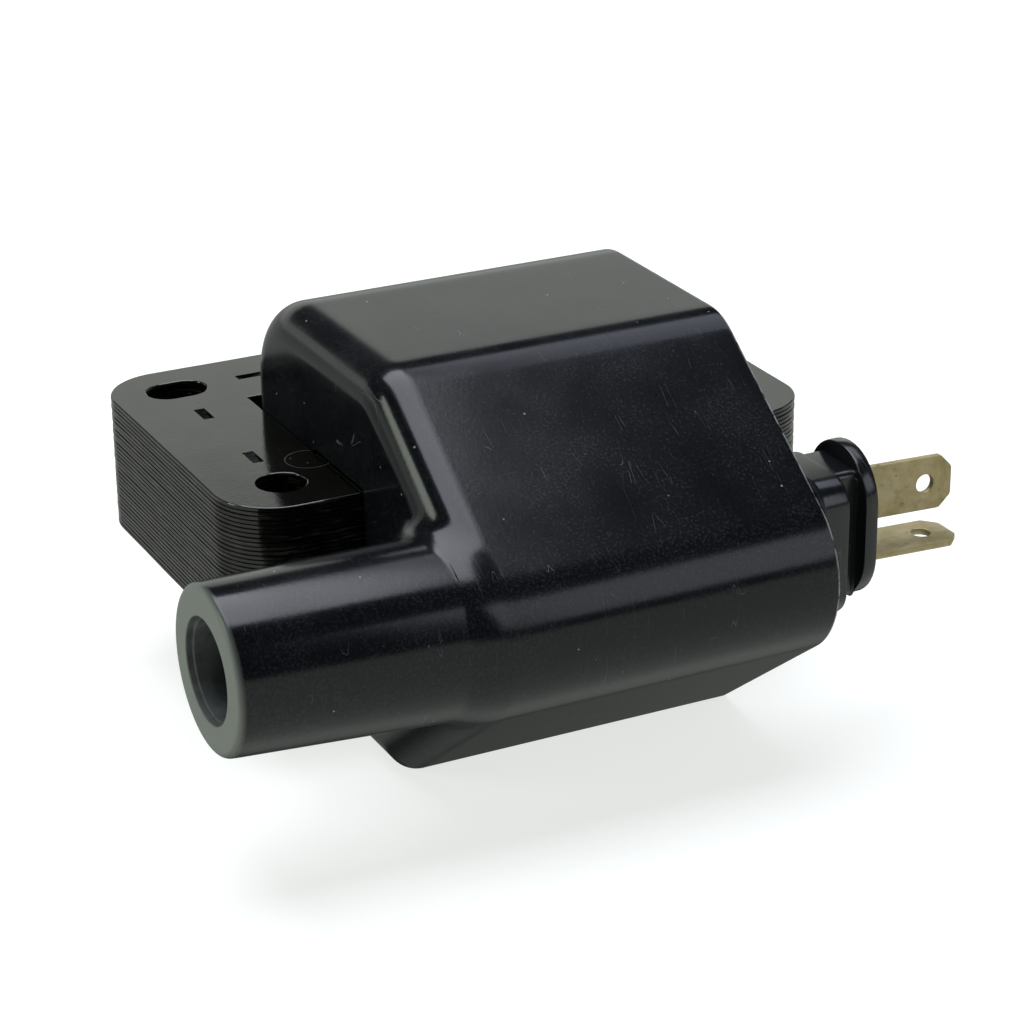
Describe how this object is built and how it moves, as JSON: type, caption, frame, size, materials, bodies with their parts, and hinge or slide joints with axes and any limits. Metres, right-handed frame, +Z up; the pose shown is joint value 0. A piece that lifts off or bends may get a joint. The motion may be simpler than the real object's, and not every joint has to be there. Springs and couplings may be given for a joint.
{
  "type": "ignition coil",
  "caption": "Potted ignition coil on a laminated closed steel frame, with a high-tension tower at one end and two blade terminals at the other.",
  "frame": {"origin": "middle of the footprint's bounding box, on the surface that the body's flat bottom rests on", "axes": "+X from the high-tension tower towards the blades, +Y from the coil body towards the back of the steel frame, +Z up"},
  "size_m": [0.0888, 0.0738, 0.0464],
  "materials": {
    "laminated_steel": "dark lacquered electrical steel, stacked plates",
    "moulded_resin": "glossy black thermoset with fine orange peel",
    "potting_resin": "dark poured epoxy",
    "terminal_nylon": "satin black nylon",
    "spool_plastic": "natural glass-filled plastic",
    "enamelled_copper": "enamelled copper wire",
    "insulating_paper": "insulating paper",
    "tarnished_brass": "tarnished stamped brass"
  },
  "bodies": {
    "root": {"core_stack": "laminated_steel", "core_top_plate": "laminated_steel", "core_bottom_plate": "laminated_steel", "core_bar": "laminated_steel", "core_gap_spacer": "insulating_paper", "housing": "moulded_resin", "potting_fill": "potting_resin", "primary_bobbin": "spool_plastic", "primary_winding": "enamelled_copper", "primary_wrap": "insulating_paper", "secondary_bobbin": "spool_plastic", "secondary_winding_1": "enamelled_copper", "secondary_winding_2": "enamelled_copper", "secondary_winding_3": "enamelled_copper", "secondary_winding_4": "enamelled_copper", "secondary_winding_5": "enamelled_copper", "secondary_winding_6": "enamelled_copper", "hv_terminal": "tarnished_brass", "hv_lead": "enamelled_copper", "terminal_block": "terminal_nylon", "upper_blade": "tarnished_brass", "lower_blade": "tarnished_brass", "primary_lead_upper": "enamelled_copper", "primary_lead_lower": "enamelled_copper", "secondary_return_lead": "enamelled_copper"}
  },
  "joints": []
}
